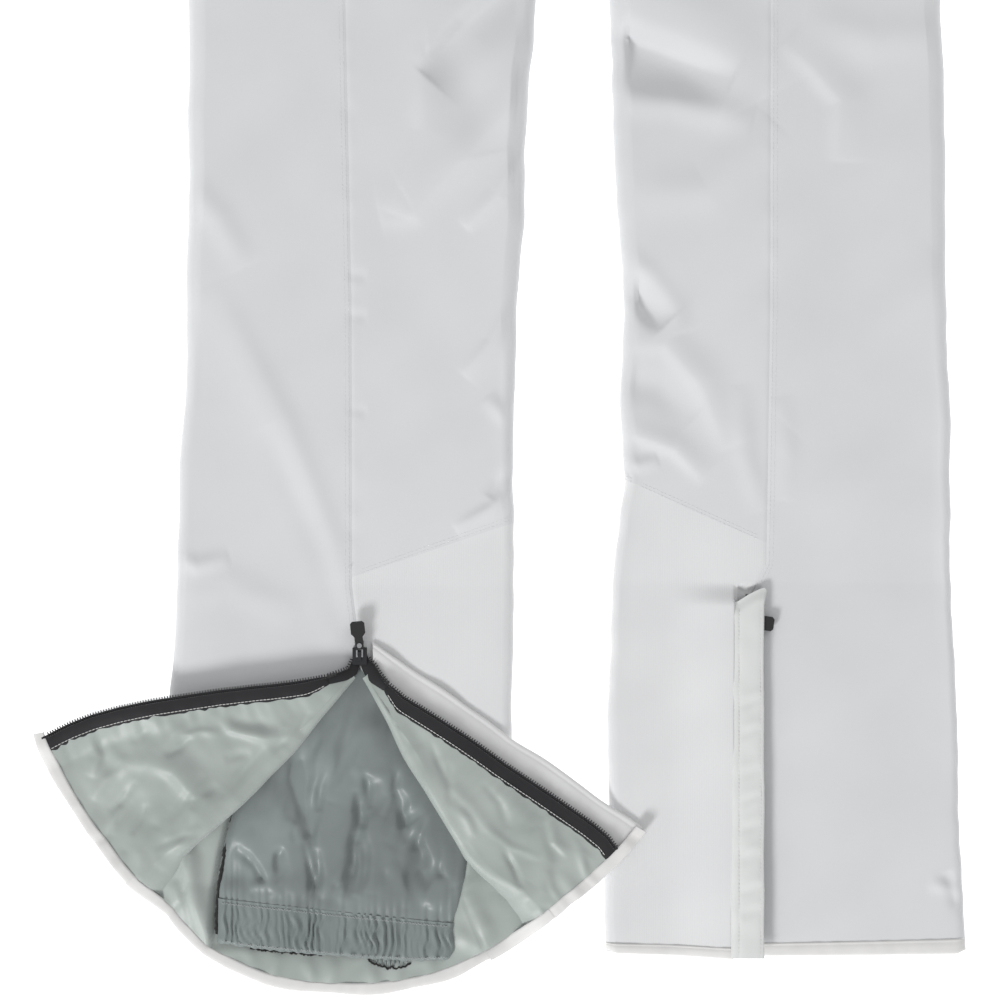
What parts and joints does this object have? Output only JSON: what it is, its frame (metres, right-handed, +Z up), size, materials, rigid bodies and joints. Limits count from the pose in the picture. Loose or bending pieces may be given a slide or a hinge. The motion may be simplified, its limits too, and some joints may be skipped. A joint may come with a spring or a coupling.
{
  "type": "ski pants",
  "caption": "Insulated-style shell ski pants lying flat, one hem zip open with its flaps folded out over an inner gaiter, the other closed under a storm flap.",
  "frame": {"origin": "middle of the footprint, on the surface the garment lies on", "axes": "+Y up the garment from the hems to the waist, +Z up through its thickness (front of the pants), +X towards the closed leg"},
  "size_m": [0.6482, 1.088, 0.0395],
  "materials": {
    "shell_fabric": "woven waterproof shell, matt",
    "scuff_fabric": "tough ribbed shell, matt",
    "lining_fabric": "smooth taffeta lining, slight sheen",
    "gaiter_fabric": "satin gaiter fabric, slight sheen",
    "elastic": "gathered elastic",
    "zip_tape": "laminated zip tape, matt",
    "zip_coil": "moulded coil",
    "zip_metal": "cast zinc slider, satin",
    "pull_rubber": "moulded pull, matt",
    "pocket_fabric": "tricot pocketing, matt",
    "snap_plastic": "moulded snap"
  },
  "bodies": {
    "garment": {"belt_loops": "shell_fabric", "crotch_gusset": "shell_fabric", "fly_zip_coils": "zip_coil", "fly_zip_tapes": "zip_tape", "inner_flap_fold": "shell_fabric", "left_back_panel": "shell_fabric", "left_front_inner_panel": "shell_fabric", "left_front_outer_panel": "shell_fabric", "left_gaiter": "gaiter_fabric", "left_gaiter_elastic": "elastic", "left_hem_band": "shell_fabric", "left_lining": "lining_fabric", "left_pocket_bag": "pocket_fabric", "left_pocket_zip_coils": "zip_coil", "left_pocket_zip_tapes": "zip_tape", "left_scuff_guard": "scuff_fabric", "outer_flap_fold": "shell_fabric", "right_back_panel": "shell_fabric", "right_front_inner_panel": "shell_fabric", "right_front_outer_panel": "shell_fabric", "right_gaiter": "gaiter_fabric", "right_gaiter_elastic": "elastic", "right_hem_band": "shell_fabric", "right_lining": "lining_fabric", "right_pocket_bag": "pocket_fabric", "right_pocket_zip_coils": "zip_coil", "right_pocket_zip_tapes": "zip_tape", "right_scuff_guard": "scuff_fabric", "right_zip_coils": "zip_coil", "right_zip_tapes": "zip_tape", "waistband": "shell_fabric", "zip_stops": "zip_metal"},
    "outer_flap": {"outer_flap_shell": "shell_fabric", "outer_flap_lining": "lining_fabric", "outer_flap_hem_band": "shell_fabric", "outer_zip_tape": "zip_tape", "outer_zip_coil": "zip_coil"},
    "inner_flap": {"inner_flap_shell": "shell_fabric", "inner_flap_lining": "lining_fabric", "inner_flap_hem_band": "shell_fabric", "inner_zip_tape": "zip_tape", "inner_zip_coil": "zip_coil", "left_storm_flap": "shell_fabric"},
    "left_slider": {"left_zip_slider": "zip_metal"},
    "left_link": {"left_pull_link": "zip_metal"},
    "left_tab": {"left_pull_tab": "pull_rubber"},
    "right_storm": {"right_storm_flap": "shell_fabric"},
    "right_slider": {"right_zip_slider": "zip_metal", "right_pull_link": "zip_metal"},
    "right_tab": {"right_pull_tab": "pull_rubber"},
    "fly_slider": {"fly_zip_slider": "zip_metal"},
    "fly_pull": {"fly_zip_pull": "pull_rubber"},
    "left_pocket_slider": {"left_pocket_zip_slider": "zip_metal"},
    "left_pocket_pull": {"left_pocket_zip_pull": "pull_rubber"},
    "right_pocket_slider": {"right_pocket_zip_slider": "zip_metal"},
    "right_pocket_pull": {"right_pocket_zip_pull": "pull_rubber"},
    "closing_tab": {"closing_tab": "shell_fabric", "snap_cap": "snap_plastic"},
    "left_adjuster": {"left_waist_tab": "shell_fabric"},
    "right_adjuster": {"right_waist_tab": "shell_fabric"}
  },
  "joints": [
    {"name": "outer_flap_fold", "type": "hinge", "parent": "garment", "child": "outer_flap", "pos_m": [-0.10026, -0.314, 0.01945], "axis": [0.6225, 0.7826, 0], "range_deg": [0, 180], "deforming": ["outer_flap_fold"]},
    {"name": "inner_flap_fold", "type": "hinge", "parent": "garment", "child": "inner_flap", "pos_m": [-0.10026, -0.314, 0.01945], "axis": [0.4641, -0.8858, 0], "range_deg": [0, 180], "deforming": ["inner_flap_fold"]},
    {"name": "left_slider_slide", "type": "slide", "parent": "garment", "child": "left_slider", "axis": [0, -1, 0], "range_m": [0, 0.212]},
    {"name": "left_link_hinge", "type": "hinge", "parent": "left_slider", "child": "left_link", "pos_m": [-0.10026, -0.305, 0.02], "axis": [-1, 0, 0], "range_deg": [-110, 0]},
    {"name": "left_tab_swivel", "type": "hinge", "parent": "left_link", "child": "left_tab", "pos_m": [-0.10026, -0.2975, 0.02], "axis": [0, 0, 1], "range_deg": [-75, 75]},
    {"name": "right_storm_flap_hinge", "type": "hinge", "parent": "garment", "child": "right_storm", "pos_m": [0.16104, -0.416, 0.021], "axis": [0, -1, 0], "range_deg": [0, 150]},
    {"name": "right_slider_slide", "type": "slide", "parent": "garment", "child": "right_slider", "axis": [0, -1, 0], "range_m": [0, 0.221]},
    {"name": "right_tab_swivel", "type": "hinge", "parent": "right_slider", "child": "right_tab", "pos_m": [0.17214, -0.2805, 0.017], "axis": [0, 0, 1], "range_deg": [-80, 35]},
    {"name": "fly_slider_slide", "type": "slide", "parent": "garment", "child": "fly_slider", "axis": [0, -1, 0], "range_m": [0, 0.11]},
    {"name": "fly_pull_hinge", "type": "hinge", "parent": "fly_slider", "child": "fly_pull", "pos_m": [0.04814, 0.488, 0.03755], "axis": [-1, 0, 0], "range_deg": [0, 110]},
    {"name": "left_pocket_slider_slide", "type": "slide", "parent": "garment", "child": "left_pocket_slider", "axis": [-0.2419, -0.9703, 0], "range_m": [0, 0.12]},
    {"name": "left_pocket_pull_hinge", "type": "hinge", "parent": "left_pocket_slider", "child": "left_pocket_pull", "pos_m": [-0.1051, 0.47319, 0.03755], "axis": [-0.9703, 0.2419, 0], "range_deg": [0, 110]},
    {"name": "right_pocket_slider_slide", "type": "slide", "parent": "garment", "child": "right_pocket_slider", "axis": [0.2419, -0.9703, 0], "range_m": [0, 0.12]},
    {"name": "right_pocket_pull_hinge", "type": "hinge", "parent": "right_pocket_slider", "child": "right_pocket_pull", "pos_m": [0.20138, 0.47319, 0.03755], "axis": [-0.9703, -0.2419, 0], "range_deg": [0, 110]},
    {"name": "closing_tab_hinge", "type": "hinge", "parent": "garment", "child": "closing_tab", "pos_m": [0.02814, 0.524, 0.03365], "axis": [0, -1, 0], "range_deg": [0, 150]},
    {"name": "left_adjuster_hinge", "type": "hinge", "parent": "garment", "child": "left_adjuster", "pos_m": [-0.09386, 0.524, 0.03365], "axis": [0, -1, 0], "range_deg": [0, 150]},
    {"name": "right_adjuster_hinge", "type": "hinge", "parent": "garment", "child": "right_adjuster", "pos_m": [0.19014, 0.524, 0.03365], "axis": [0, 1, 0], "range_deg": [0, 150]}
  ],
  "couplings": [
    {"joint": "inner_flap_fold", "follows": "outer_flap_fold", "ratio": 1},
    {"joint": "left_slider_slide", "follows": "outer_flap_fold", "m_per_rad": 0.067482}
  ]
}
